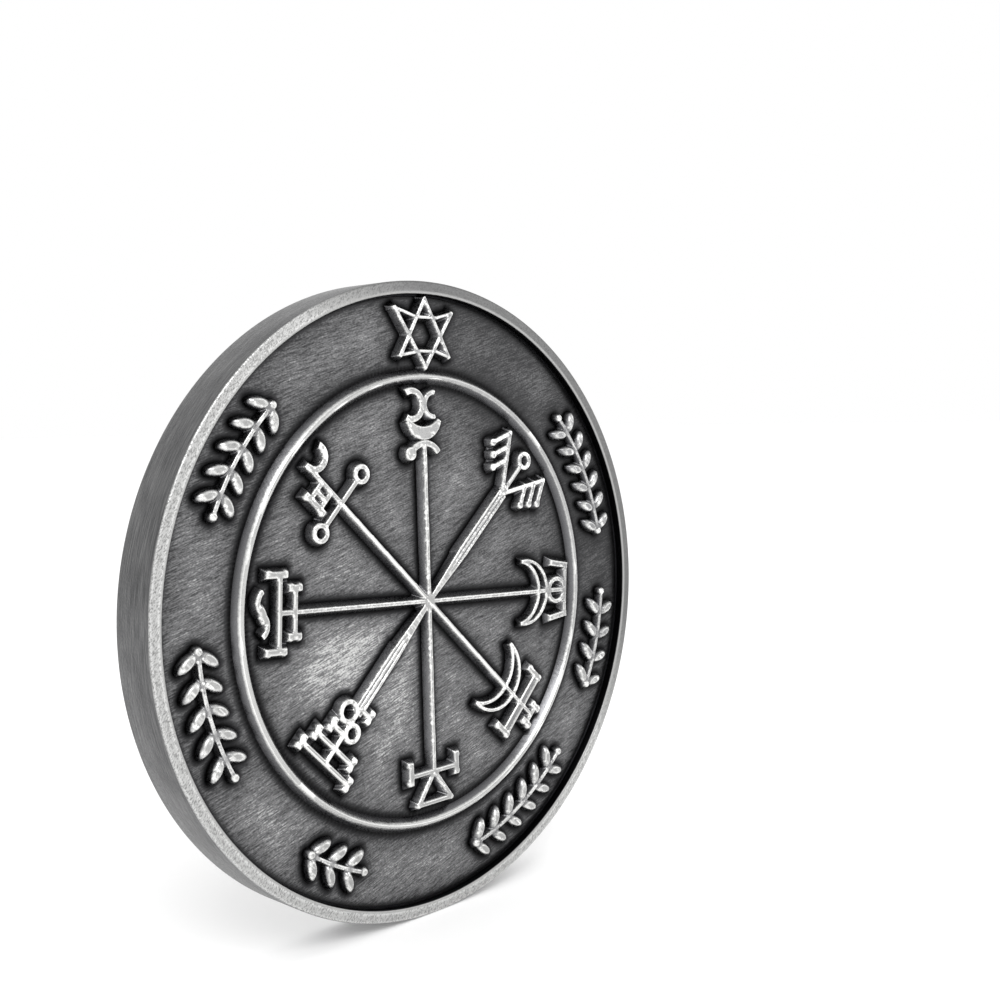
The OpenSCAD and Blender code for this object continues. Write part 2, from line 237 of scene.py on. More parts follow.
def plate(
    tree: bpy.types.NodeTree,
    colour: Socket,
    roughness: Socket,
    bumps: Sequence[tuple[Socket, float, float]],
) -> None:
    """Ends a tree in a metal shader.

    Args:
        tree: Tree that gets the nodes.
        colour: Colour of the plate.
        roughness: Roughness of the plate.
        bumps: Patterns from the lowest up, each with its depth in millimetres and the share of
            it that shows.
    """
    under = {}
    for source, depth, share in bumps:
        settings = {"Strength": share, "Distance": depth * MM}
        under = {"Normal": add_node(tree, "Bump", settings, {"Height": source, **under})}
    links = {"Base Color": colour, "Roughness": roughness, **under}
    shader = add_node(tree, "BsdfPrincipled", {"Metallic": 1.0}, links)
    add_node(tree, "OutputMaterial", links={"Surface": shader})


@dataclass(frozen=True)
class BrushedField:
    """Zinc alloy, antique silver plate, darkened and brushed back on a belt.

    The plate is grey where the belt reached and nearly black where it didn't, at the foot of
    every relief, with painted highlight and painted shade patches laid in. Fine scratches all
    run one way and catch the light in short streaks.
    """

    name: str = "brushed_antique_silver_plate"
    bare: str = "#cdcdcc"
    worn_and_painted_light: str = "#808081"
    dim: str = "#404041"
    dark: str = "#09090a"
    scratch_turn: float = 17.0
    scratch_w: float = 0.06
    scratch_l: float = 11.0
    deep_scratch_w: float = 0.22
    deep_scratch_l: float = 8.0

    def make(self) -> bpy.types.Material:
        """Builds the material."""
        material, tree, place = new_tree(self.name)
        turn = self.scratch_turn
        fine = pattern(tree, place, self.scratch_w, 4.0, (self.scratch_l, 1.0, 1.0), turn)
        deep_stretch = (self.deep_scratch_l, 1.0, 1.0)
        broad = pattern(tree, place, self.deep_scratch_w, 3.0, deep_stretch, turn + 3)
        cloud = pattern(tree, place, 5.5, 2.0, (1.4, 1.0, 1.0), turn)
        grit = pattern(tree, place, 0.1, 2.0, (1.6, 1.0, 1.0), turn)
        # The polish carries the painted highlight and painted shade patches of the fields.
        polish_and_light = worn_and_painted_light(
            tree,
            add_node(tree, "Attribute", {"attribute_name": POLISH_AND_PAINTED_LIGHT}, out="Fac"),
            (
                (cloud, (0.3, 0.68), (0.84, 1.04)),
                (fine, (0.34, 0.66), (0.66, 1.3)),
                (broad, MIDDLE, (0.9, 1.1)),
                (grit, (0.32, 0.68), (0.76, 1.2)),
            ),
        )
        stops = ((0.0, self.dark), (0.3, self.dim), (0.66, self.worn_and_painted_light), (1.0, self.bare))
        colour = add_node(tree, "ValToRGB", {"stops": stops}, {0: polish_and_light})
        rough = add_node(tree, "MapRange", {1: 0.3, 2: 0.7, 3: 0.34, 4: 0.5}, {0: fine})
        plate(tree, colour, rough, ((cloud, 0.05, 0.5), (grit, 0.006, 0.5), (fine, 0.012, 0.8)))
        return material


@dataclass(frozen=True)
class PolishedRelief:
    """Zinc alloy, antique silver plate, its high points polished on a wheel.

    Edges carry a painted highlight, tops are a little greyer, sides stay grey and the foot is
    nearly black. Towards the upper right of the obverse the relief is painted darker as shade.
    """

    name: str = "polished_antique_silver_relief"
    # Painted highlight along sharp convex edges near the top.
    edge: str = "#efefed"
    top: str = "#a4a4a3"
    shoulder: str = "#848485"
    side: str = "#6a6a6c"
    low: str = "#4a4a4c"
    foot: str = "#0e0e0f"
    # Span along the painted shade side, in millimetres, over which the relief is painted darker.
    painted_shade: tuple[float, float] = (3.0, 13.0)
    # Depths behind the middle plane between which the painted shade fades out, keeping it to the
    # obverse.
    obverse: tuple[float, float] = (0.4, -0.4)
    highlight_pointiness: tuple[float, float] = (0.505, 0.54)
    foot_y: float = 1.1
    top_y: float = 1.65

    def make(self) -> bpy.types.Material:
        """Builds the material."""
        material, tree, place = new_tree(self.name)
        behind, away = off_plane(tree, place)
        grain = pattern(tree, place, 0.16)
        pits = pattern(tree, place, 0.5, 2.0)
        # Painted shade: the relief is painted darker towards the upper right of the obverse.
        shade_side = {"operation": "DOT_PRODUCT", 1: PAINTED_SHADE_SIDE}
        toward_shade = add_node(tree, "VectorMath", shade_side, {0: place}, "Value")
        painted_shade = add_node(tree, "MapRange", dict(enumerate(self.painted_shade, 1)), {0: toward_shade})
        painted_shade = worn_and_painted_light(tree, painted_shade, ((behind, self.obverse, UNIT),))
        rise = add_node(tree, "MapRange", {1: self.foot_y, 2: self.top_y}, {0: away})
        layers = (
            (pits, (0.25, 0.6), (0.95, 1.02)),
            (grain, (0.3, 0.62), (0.94, 1.03)),
            (painted_shade, UNIT, (1.0, 0.87)),
        )
        rise = worn_and_painted_light(tree, rise, layers)
        # Painted highlight: sharp, high edges are mixed towards the edge colour.
        edge_highlight = add_node(tree, "NewGeometry", out="Pointiness")
        edge_highlight = add_node(tree, "MapRange", dict(enumerate(self.highlight_pointiness, 1)), {0: edge_highlight})
        stops = (
            (0.0, self.foot),
            (0.05, self.low),
            (0.4, self.side),
            (0.86, self.shoulder),
            (0.97, self.top),
        )
        colour = add_node(
            tree,
            "Mix",
            {"data_type": "RGBA", 7: linear(self.edge)},
            {
                0: worn_and_painted_light(tree, edge_highlight, ((rise, (0.6, 0.85), UNIT),)),
                6: add_node(tree, "ValToRGB", {"stops": stops}, {0: rise}),
            },
            2,
        )
        rough = add_node(tree, "MapRange", {1: 0.3, 2: 0.7, 3: 0.2, 4: 0.36}, {0: grain})
        plate(tree, colour, rough, ((pits, 0.03, 0.5), (grain, 0.008, 0.5)))
        return material


@dataclass(frozen=True)
class GrainedRim:
    """Zinc alloy, antique silver plate, faced on fine emery.

    A fine, even sparkle on the flat of the rim, with the wall below it brushed lengthwise in
    satin grey and the inner wall left dark. The flat carries a painted highlight along its inner
    and outer edges and is painted darker towards the upper right as shade.
    """

    name: str = "faced_antique_silver_rim"
    flat: str = "#a6a6a5"
    wall: str = "#525253"
    dark: str = "#202022"
    inner_r: float = 19.2
    outer_r: float = 20.0
    rim_y: float = 1.7
    # Span along the painted shade side, in millimetres, over which the flat is painted darker.
    painted_shade: tuple[float, float] = (4.5, 13.0)

    def make(self) -> bpy.types.Material:
        """Builds the material."""
        material, tree, place = new_tree(self.name)
        away = off_plane(tree, place)[1]
        level = {"operation": "MULTIPLY", 1: (1.0, 0.0, 1.0)}
        level_place = add_node(tree, "VectorMath", level, {0: place})
        radius = add_node(tree, "VectorMath", {"operation": "LENGTH"}, {0: level_place}, "Value")
        shade_side = {"operation": "DOT_PRODUCT", 1: PAINTED_SHADE_SIDE}
        toward_shade = add_node(tree, "VectorMath", shade_side, {0: place}, "Value")
        grain = pattern(tree, place, 0.14)
        streak = pattern(tree, place, 0.12, 4.0, (14.0, 0.55, 14.0))
        cloud = pattern(tree, place, 3.0, 3.0, (1.0, 0.5, 1.0))
        hatch = pattern(tree, place, 0.08, 2.0, (4.0, 1.0, 1.0), 35.0)
        sparkle = pattern(tree, place, 0.07, 2.0, (2.0, 1.0, 1.0), 60.0)
        # The flat's sparkle and hatch, with a painted highlight along its edges and painted shade
        # towards the upper right.
        emery = worn_and_painted_light(
            tree,
            add_node(tree, "MapRange", {1: 0.3, 2: 0.7, 3: 0.64, 4: 1.34}, {0: sparkle}),
            (
                (hatch, MIDDLE, (0.8, 1.15)),
                # Painted highlight along the inner and outer edges of the flat.
                (radius, (self.inner_r + 0.2, self.inner_r + 0.34), (1.0, 0.9)),
                (radius, (self.outer_r - 0.12, self.outer_r - 0.2), (1.0, 0.92)),
                # Painted shade: the flat is painted darker towards the upper right.
                (toward_shade, self.painted_shade, (1.0, 0.42)),
            ),
        )
        brushed = add_node(tree, "MapRange", {1: 0.25, 2: 0.75, 3: 0.45, 4: 1.1}, {0: streak})
        brushed = worn_and_painted_light(tree, brushed, ((cloud, MIDDLE, (0.8, 1.05)),))
        edges = {1: self.rim_y - 0.14, 2: self.rim_y - 0.02}
        on_rim = add_node(tree, "MapRange", edges, {0: away})
        edges = {1: self.inner_r + 0.1, 2: self.inner_r + 0.22}
        outside = add_node(tree, "MapRange", edges, {0: radius})
        flat, wall, inner = (
            add_node(tree, "ValToRGB", {"stops": stops}, {0: source})
            for source, stops in (
                (emery, ((0.0, "#4a4a4a"), (0.4, "#767676"), (0.75, self.flat), (1.0, "#e6e6e5"))),
                (brushed, ((0.0, "#373738"), (0.6, self.wall), (1.0, "#7c7c7c"))),
                (on_rim, ((0.0, self.dark), (0.6, "#4c4c4e"), (1.0, self.flat))),
            )
        )
        mix = {"data_type": "RGBA"}
        outer = add_node(tree, "Mix", mix, {0: on_rim, 6: wall, 7: flat}, 2)
        colour = add_node(tree, "Mix", mix, {0: outside, 6: inner, 7: outer}, 2)
        rough = add_node(tree, "MapRange", {1: 0.3, 2: 0.7, 3: 0.28, 4: 0.44}, {0: grain})
        plate(tree, colour, rough, ((grain, 0.035, 0.8), (streak, 0.015, 0.4)))
        return material


@dataclass(frozen=True)
class GrainedSign:
    """Zinc alloy, antique silver plate, the flat of the sign left with the die's grain.

    Flat tops are an even, slightly rough grey; a bright line is painted along the top edge as a
    highlight.
    """

    name: str = "grained_antique_silver_sign"
    flat: str = "#acacad"
    # Painted highlight: a bright band on the shoulder just below the flat top.
    edge: str = "#eeeeec"
    foot: str = "#1c1c1e"
    foot_y: float = 1.2
    top_y: float = 1.65

    def make(self) -> bpy.types.Material:
        """Builds the material."""
        material, tree, place = new_tree(self.name)
        away = off_plane(tree, place)[1]
        grain = pattern(tree, place, 0.14)
        lie = pattern(tree, place, 2.2, 2.0)
        rise = add_node(tree, "MapRange", {1: self.foot_y, 2: self.top_y}, {0: away})
        speckle = add_node(tree, "MapRange", {1: 0.3, 2: 0.7}, {0: grain})
        stops = ((0.0, self.foot), (0.5, "#55555a"), (0.86, self.edge), (0.985, self.flat))
        colour = add_node(tree, "ValToRGB", {"stops": stops}, {0: rise})
        stops = ((0.0, "#a4a4a4"), (1.0, "#ffffff"))
        mottle = add_node(tree, "ValToRGB", {"stops": stops}, {0: speckle})
        tint = {"data_type": "RGBA", "blend_type": "MULTIPLY", 0: 0.7}
        tinted = add_node(tree, "Mix", tint, {6: colour, 7: mottle}, 2)
        rough = add_node(tree, "MapRange", {1: 0.3, 2: 0.7, 3: 0.34, 4: 0.48}, {0: lie})
        plate(tree, tinted, rough, ((grain, 0.018, 0.6),))
        return material


@dataclass(frozen=True)
class PaleFloor:
    """Matt painted board: an even, bright white with no pattern that would draw the eye."""

    name: str = "matt_white_board"
    white: str = "#f4f4f4"
    lift: float = 0.16

    def make(self) -> bpy.types.Material:
        """Builds the material."""
        material, tree, _ = new_tree(self.name)
        settings = {
            "Base Color": linear(self.white),
            "Roughness": 0.9,
            "Emission Color": linear(self.white),
            "Emission Strength": self.lift,
        }
        shader = add_node(tree, "BsdfPrincipled", settings)
        add_node(tree, "OutputMaterial", links={"Surface": shader})
        return material


# ---------------------------------------------------------------------------------------------
# Modelling on the flat sheet
# ---------------------------------------------------------------------------------------------


@dataclass(frozen=True)
class Stroke:
    """Cross-section of a struck line in millimetres: wide at the foot, narrow at the top."""

    foot_w: float = 0.84
    top_w: float = 0.26
    height: float = 0.55
    sink: float = 0.08


def leave_edit() -> None:
    """Leaves edit mode and deselects every object."""
    if bpy.context.object is not None and bpy.context.object.mode != "OBJECT":
        bpy.ops.object.mode_set(mode="OBJECT")
    bpy.ops.object.select_all(action="DESELECT")


def take(obj: bpy.types.Object) -> bpy.types.Object:
    """Makes an object the only selected and the active one."""
    leave_edit()
    obj.select_set(True)
    bpy.context.view_layer.objects.active = obj
    return obj


def settle(obj: bpy.types.Object) -> bpy.types.Object:
    """Moves an object's place, turn and size into its mesh."""
    take(obj)
    bpy.ops.object.transform_apply(location=True, rotation=True, scale=True)
    return obj


def pick(obj: bpy.types.Object, kind: str, test: Callable[[Vector], bool]) -> None:
    """Enters edit mode with the vertices or faces selected whose place passes a test.

    Args:
        obj: Object to edit.
        kind: VERT or FACE.
        test: Says whether a vertex's place, or a face's centre, is wanted.
    """
    take(obj)
    bpy.ops.object.mode_set(mode="EDIT")
    bpy.ops.mesh.select_mode(type=kind)
    bpy.ops.mesh.select_all(action="DESELECT")
    bpy.ops.object.mode_set(mode="OBJECT")
    if kind == "VERT":
        for vertex in obj.data.vertices:
            vertex.select = test(vertex.co)
    else:
        for polygon in obj.data.polygons:
            polygon.select = test(polygon.center)
    bpy.ops.object.mode_set(mode="EDIT")


def copy_of(obj: bpy.types.Object) -> bpy.types.Object:
    """Copies an object together with its mesh."""
    twin = obj.copy()
    twin.data = obj.data.copy()
    bpy.context.scene.collection.objects.link(twin)
    return twin


def joined(parts: Sequence[bpy.types.Object]) -> bpy.types.Object:
    """Joins objects into the first one."""
    leave_edit()
    for part in parts:
        part.select_set(True)
    bpy.context.view_layer.objects.active = parts[0]
    if len(parts) > 1:
        bpy.ops.object.join()
    return bpy.context.view_layer.objects.active


def turned(obj: bpy.types.Object, degrees: float, at: Point = (0.0, 0.0)) -> bpy.types.Object:
    """Turns an object on the sheet and then moves it, both in its mesh."""
    obj.rotation_euler = (0.0, 0.0, math.radians(degrees))
    obj.location = (at[0], at[1], 0.0)
    return settle(obj)


def apply_modifier(obj: bpy.types.Object, kind: str, **settings: object) -> None:
    """Adds a modifier with its settings and applies it."""
    take(obj)
    modifier = obj.modifiers.new(kind.lower(), kind)
    for name, value in settings.items():
        setattr(modifier, name, value)
    bpy.ops.object.modifier_apply(modifier=modifier.name)


def bar(
    start: Point, end: Point, stroke: Stroke, over: float = 0.5, taper: float = 1.0
) -> bpy.types.Object:
    """Models a straight stroke from a cube, drafted towards its top.

    Args:
        start: One end of the stroke's line.
        end: The other end.
        stroke: Cross-section.
        over: How far the stroke runs past each end, as a share of its top width.
        taper: Width at the start, as a share of the width at the end.

    Returns:
        The stroke.
    """
    run = Vector(end) - Vector(start)
    length = run.length + 2 * over * stroke.top_w
    draft = stroke.foot_w - stroke.top_w
    leave_edit()
    bpy.ops.mesh.primitive_cube_add(size=1.0)
    obj = bpy.context.object
    obj.scale = (length + draft, stroke.foot_w, stroke.height + stroke.sink)
    obj.location = (0.0, 0.0, (stroke.height - stroke.sink) / 2)
    settle(obj)
    pick(obj, "FACE", lambda place: place.z > stroke.height - HAIR)
    bpy.ops.transform.resize(
        value=(length / (length + draft), stroke.top_w / stroke.foot_w, 1.0),
        center_override=(0.0, 0.0, stroke.height),
    )
    if taper != 1.0:
        pick(obj, "VERT", lambda place: place.x < 0)
        bpy.ops.transform.resize(value=(1.0, taper, 1.0), center_override=(0.0, 0.0, 0.0))
    middle = (Vector(start) + Vector(end)) / 2
    return turned(obj, math.degrees(math.atan2(run.y, run.x)), (middle.x, middle.y))


def chain(points: Sequence[Point], stroke: Stroke) -> Parts:
    """Models bars from each point to the next."""
    return [bar(a, b, stroke) for a, b in zip(points, points[1:])]


def profile(radius: float, stroke: Stroke) -> bpy.types.Object:
    """Models a stroke's cross-section from a plane, standing at a radius."""
    leave_edit()
    bpy.ops.mesh.primitive_plane_add(size=1.0, rotation=(math.pi / 2, 0.0, 0.0))
    obj = bpy.context.object
    obj.scale = (stroke.foot_w, stroke.height + stroke.sink, 1.0)
    obj.location = (radius, 0.0, (stroke.height - stroke.sink) / 2)
    settle(obj)
    pick(obj, "VERT", lambda place: place.z > stroke.height - HAIR)
    bpy.ops.transform.resize(
        value=(stroke.top_w / stroke.foot_w, 1.0, 1.0), center_override=(radius, 0.0, stroke.height)
    )
    leave_edit()
    return obj


def spun(obj: bpy.types.Object, degrees: float, steps: int) -> bpy.types.Object:
    """Spins a cross-section round the origin into a stroke.

    Args:
        obj: Cross-section standing on the X axis.
        degrees: Sweep, anticlockwise; a full turn is closed into a ring.
        steps: Number of segments.

    Returns:
        The stroke, closed and facing outwards.
    """
    take(obj)
    bpy.ops.object.mode_set(mode="EDIT")
    bpy.ops.mesh.select_all(action="SELECT")
    bpy.ops.mesh.delete(type="ONLY_FACE")
    bpy.ops.mesh.select_all(action="SELECT")
    bpy.ops.mesh.spin(
        steps=steps, angle=-math.radians(degrees), center=(0.0, 0.0, 0.0), axis=(0.0, 0.0, 1.0)
    )
    bpy.ops.mesh.select_mode(type="VERT")
    bpy.ops.mesh.select_all(action="SELECT")
    bpy.ops.mesh.remove_doubles(threshold=1e-5)
    if degrees < 360:
        bpy.ops.mesh.fill_holes(sides=0)
    bpy.ops.mesh.normals_make_consistent(inside=False)
    leave_edit()
    return obj


def arc(
    centre: Point, radius: float, start: float, sweep: float, stroke: Stroke
) -> bpy.types.Object:
    """Models a curved stroke from its cross-section by spinning it.

    Args:
        centre: Centre of the curve.
        radius: Radius of the curve's middle line.
        start: Angle of its first end, in degrees.
        sweep: How far it runs anticlockwise, in degrees.
        stroke: Cross-section.

    Returns:
        The stroke.
    """
    steps = max(8, round(sweep / 360 * max(32, 48 * radius / 2)))
    return turned(spun(profile(radius, stroke), sweep, steps), start, centre)


def bow(
    tip: Point, half_w: float, bulge: float, stroke: Stroke, turn: float = 0.0
) -> bpy.types.Object:
    """Models a curved stroke between two tips that lie half_w to each side of a point.

    Args:
        tip: Point half way between the tips.
        half_w: Half the distance between the tips.
        bulge: How far the curve bulges beyond them.
        stroke: Cross-section.
        turn: Direction of the bulge, in degrees.

    Returns:
        The stroke.
    """
    radius = (half_w * half_w + bulge * bulge) / (2 * bulge)
    half = math.degrees(math.atan2(half_w, radius - bulge))
    curve = arc((0.0, 0.0), radius, -half, 2 * half, stroke)
    offset = Vector((bulge - radius, 0.0))
    offset.rotate(Matrix.Rotation(math.radians(turn), 2))
    return turned(curve, turn, (tip[0] + offset.x, tip[1] + offset.y))


def dot(centre: Point, radius: float, stroke: Stroke, corners: int = 28) -> bpy.types.Object:
    """Models a round boss from a cone, drafted towards its top."""
    draft = (stroke.foot_w - stroke.top_w) / 2
    leave_edit()
    bpy.ops.mesh.primitive_cone_add(
        vertices=corners,
        radius1=radius + draft,
        radius2=radius,
        depth=stroke.height + stroke.sink,
        location=(centre[0], centre[1], (stroke.height - stroke.sink) / 2),
    )
    return settle(bpy.context.object)


def knob(centre: Point, radius: float, stroke: Stroke) -> bpy.types.Object:
    """Models a domed boss from a sphere cut flat below."""
    obj = leaf(2 * radius, 2 * radius, stroke)
    return turned(obj, 0, (centre[0] - radius, centre[1]))


def leaf(length: float, width: float, stroke: Stroke) -> bpy.types.Object:
    """Models a leaf from a sphere, domed above and cut flat below, with its stalk at the origin."""
    leave_edit()
    bpy.ops.mesh.primitive_uv_sphere_add(
        segments=28, ring_count=20, radius=0.5, rotation=(0.0, math.pi / 2, 0.0)
    )
    obj = bpy.context.object
    settle(obj)
    obj.scale = (length, width, 2 * stroke.height * LEAF_CROWN)
    obj.location = (length / 2, 0.0, 0.0)
    settle(obj)
    take(obj)
    bpy.ops.object.mode_set(mode="EDIT")
    for level, above in ((-stroke.sink, False), (stroke.height, True)):
        bpy.ops.mesh.select_all(action="SELECT")
        bpy.ops.mesh.bisect(
            plane_co=(0.0, 0.0, level),
            plane_no=(0.0, 0.0, 1.0),
            use_fill=True,
            clear_inner=not above,
            clear_outer=above,
        )
    leave_edit()
    return obj


def fused(
    name: str, parts: Sequence[bpy.types.Object], voxel: float = 0.05, rounds: int = 4
) -> bpy.types.Object:
    """Fuses strokes into one struck shape with soft edges.

    Args:
        name: Name of the shape.
        parts: Closed strokes that overlap.
        voxel: Size of the fused mesh's faces, in millimetres.
        rounds: Number of smoothing rounds.

    Returns:
        The fused shape.
    """
    obj = joined(parts)
    obj.name = name
    apply_modifier(obj, "REMESH", mode="VOXEL", voxel_size=voxel, use_smooth_shade=True)
    apply_modifier(obj, "SMOOTH", factor=0.5, iterations=rounds)
    take(obj)
    bpy.ops.object.shade_smooth()
    return obj


@dataclass
class Relief:
    """What every group of relief shares: the coin's levels, the list of pieces and the finish."""

    material: bpy.types.Material
    slot: Slot = Slot.RELIEF
    obverse_y: float = 1.1
    reverse_y: float = 1.2
    made: list[bpy.types.Object] = field(default_factory=list)

    def stand(self, obj: bpy.types.Object, face: Face, nodes: Iterable[str]) -> bpy.types.Object:
        """Stands a flat shape on a face of the coin, dressed and riding on the body.

        Args:
            obj: Shape modelled on the sheet, in millimetres.
            face: Face that it stands on.
            nodes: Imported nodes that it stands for.

        Returns:
            The piece.
        """
        front = face is Face.OBVERSE
        obj.scale = (MM, MM, MM)
        obj.rotation_euler = (math.pi / 2, 0.0, 0.0 if front else math.pi)
        obj.location = (0.0, (-self.obverse_y if front else self.reverse_y) * MM, 0.0)
        settle(obj)
        obj.data.materials.clear()
        obj.data.materials.append(self.material)
        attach(obj, BODY)
        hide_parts(*nodes)
        self.made.append(obj)
        LOG.info("%s: %d faces", obj.name, len(obj.data.polygons))
        return obj

    def feet(self, face: Face) -> np.ndarray:
        """Gives the places where this relief meets a face, in sheet millimetres."""
        level = -self.obverse_y if face is Face.OBVERSE else self.reverse_y
        mirror = 1.0 if face is Face.OBVERSE else -1.0
        places = []
        for obj in self.made:
            flat = np.empty(len(obj.data.vertices) * 3, np.float32)
            obj.data.vertices.foreach_get("co", flat)
            points = flat.reshape(-1, 3) / MM
            near = points[np.abs(points[:, 1] - level) < FOOT_REACH]
            places.append(np.column_stack((near[:, 0] * mirror, near[:, 2])))
        return np.concatenate(places) if places else np.empty((0, 2))


# ---------------------------------------------------------------------------------------------
# Obverse
# ---------------------------------------------------------------------------------------------


@dataclass
class MiddleRing(Relief):
    """Rounded ring between the rays and the outer band."""

    ring_r: float = 14.1
    foot_w: float = 1.06
    crest_w: float = 0.18
    height: float = 0.55
    steps: int = 300

    def build(self) -> None:
        """Spins a trapezoid with its top corners rounded."""
        section = profile(self.ring_r, Stroke(self.foot_w, self.crest_w, self.height))
        pick(section, "VERT", lambda place: place.z > self.height - HAIR)
        bpy.ops.mesh.bevel(offset=self.crest_w * 0.45, segments=4, affect="VERTICES")
        ring = spun(section, 360, self.steps)
        take(ring)
        bpy.ops.object.shade_smooth_by_angle(angle=math.radians(40))
        ring.name = "ring_relief"
        self.stand(ring, Face.OBVERSE, ("ring",))


@dataclass
class Rays(Relief):
    """Eight arms that meet in the middle; the two broad ones carry a pair of ridges."""

    narrow: Stroke = Stroke(0.86, 0.22, 0.55)
    broad: Stroke = Stroke(1.24, 0.76, 0.46)
    ridge: Stroke = Stroke(0.36, 0.14, 0.56)
    ridge_sides: tuple[float, ...] = (-0.3, 0.0, 0.3)
    widens: float = 4.2

    def build(self) -> None:
        """Models each arm along X, turns it and fuses all eight."""
        arms = []
        for ray in Ray:
            angle, reach = ray.value
            if ray in (Ray.NE, Ray.SW):
                arm = [
                    bar((0.3, 0.0), (self.widens, 0.0), self.broad, taper=0.3),
                    bar((self.widens, 0.0), (reach, 0.0), self.broad),
                ]
                for side in self.ridge_sides:
                    arm += chain(((0.3, side / 4), (self.widens, side), (reach, side)), self.ridge)
            else:
                arm = [bar((0.0, 0.0), (reach, 0.0), self.narrow)]
            arms.append(turned(joined(arm), angle))
        rays = fused("rays_relief", arms, rounds=3)
        self.stand(rays, Face.OBVERSE, tuple(f"ray_{ray.name.lower()}" for ray in Ray))


@dataclass
class Star(Relief):
    """Six-pointed star of two interlaced triangles at the top of the band."""

    stroke: Stroke = Stroke(0.74, 0.2, 0.55)
    bar_stroke: Stroke = Stroke(0.64, 0.16, 0.54)

    def build(self) -> None:
        """Lays the six sides; the two level ones bow inwards a little."""
        upright = ((-1.95, 15.4), (0.12, 18.93), (2.1, 15.35))
        hanging = ((-2.35, 18.3), (0.1, 14.68), (2.4, 18.1))
        parts = chain(upright, self.stroke) + chain(hanging, self.stroke)
        parts += chain((upright[0], (-0.3, 15.68), (1.0, 15.68), upright[2]), self.bar_stroke)
        parts += chain((hanging[0], (-0.6, 17.78), (1.1, 17.78), hanging[2]), self.bar_stroke)
        self.stand(fused("star_relief", parts), Face.OBVERSE, ("star",))


